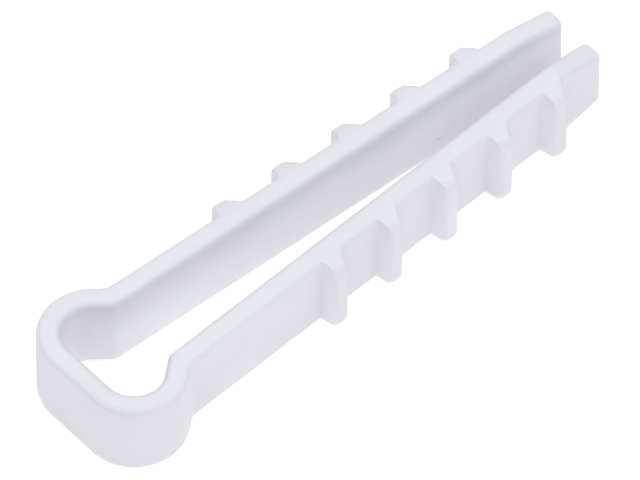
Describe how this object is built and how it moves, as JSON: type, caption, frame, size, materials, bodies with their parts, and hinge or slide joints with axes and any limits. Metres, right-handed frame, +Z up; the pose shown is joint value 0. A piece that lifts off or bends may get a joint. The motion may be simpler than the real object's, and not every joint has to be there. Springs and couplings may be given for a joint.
{
  "type": "cable wall anchor",
  "caption": "Springy one-piece plastic anchor: a looped head holds a cable on a wall, and two barbed legs grip inside a drilled hole.",
  "frame": {"origin": "centre of the bounding box, at its lowest face, which is the band's lower edge", "axes": "+X from the looped head to the leg tips, +Y to the left leg, +Z up across the band's height"},
  "size_m": [0.05, 0.013, 0.007],
  "materials": {
    "moulding": "white injection-moulded polyamide, satin"
  },
  "bodies": {
    "bridge": {"bridge": "moulding"},
    "left_corner": {"left_corner": "moulding"},
    "left_shoulder": {"left_shoulder": "moulding"},
    "left_leg": {"left_leg": "moulding", "left_tip": "moulding", "left_barb_1": "moulding", "left_barb_2": "moulding", "left_barb_3": "moulding", "left_barb_4": "moulding", "left_barb_5": "moulding"},
    "right_corner": {"right_corner": "moulding"},
    "right_shoulder": {"right_shoulder": "moulding"},
    "right_leg": {"right_leg": "moulding", "right_tip": "moulding", "right_barb_1": "moulding", "right_barb_2": "moulding", "right_barb_3": "moulding", "right_barb_4": "moulding", "right_barb_5": "moulding"}
  },
  "joints": [
    {"name": "left_clamp", "type": "hinge", "parent": "bridge", "child": "left_corner", "pos_m": [-0.02407, 0.00235, 0.0035], "axis": [0, 0, -1], "range_deg": [0, 24], "stiffness_Nm_per_rad": 0.3},
    {"name": "left_spread", "type": "hinge", "parent": "left_corner", "child": "left_shoulder", "pos_m": [-0.02085, 0.00558, 0.0035], "axis": [0, 0, 1], "range_deg": [0, 8], "stiffness_Nm_per_rad": 0.3},
    {"name": "left_neck", "type": "hinge", "parent": "left_shoulder", "child": "left_leg", "pos_m": [-0.01761, 0.00387, 0.0035], "axis": [0, 0, 1], "range_deg": [0, 26.4]},
    {"name": "right_clamp", "type": "hinge", "parent": "bridge", "child": "right_corner", "pos_m": [-0.02407, -0.00235, 0.0035], "axis": [0, 0, 1], "range_deg": [0, 24], "stiffness_Nm_per_rad": 0.3},
    {"name": "right_spread", "type": "hinge", "parent": "right_corner", "child": "right_shoulder", "pos_m": [-0.02085, -0.00558, 0.0035], "axis": [0, 0, -1], "range_deg": [0, 8], "stiffness_Nm_per_rad": 0.3},
    {"name": "right_neck", "type": "hinge", "parent": "right_shoulder", "child": "right_leg", "pos_m": [-0.01761, -0.00387, 0.0035], "axis": [0, 0, -1], "range_deg": [0, 26.4]}
  ],
  "couplings": [
    {"joint": "left_neck", "follows": "left_clamp", "ratio": 1.1},
    {"joint": "right_neck", "follows": "right_clamp", "ratio": 1.1}
  ]
}
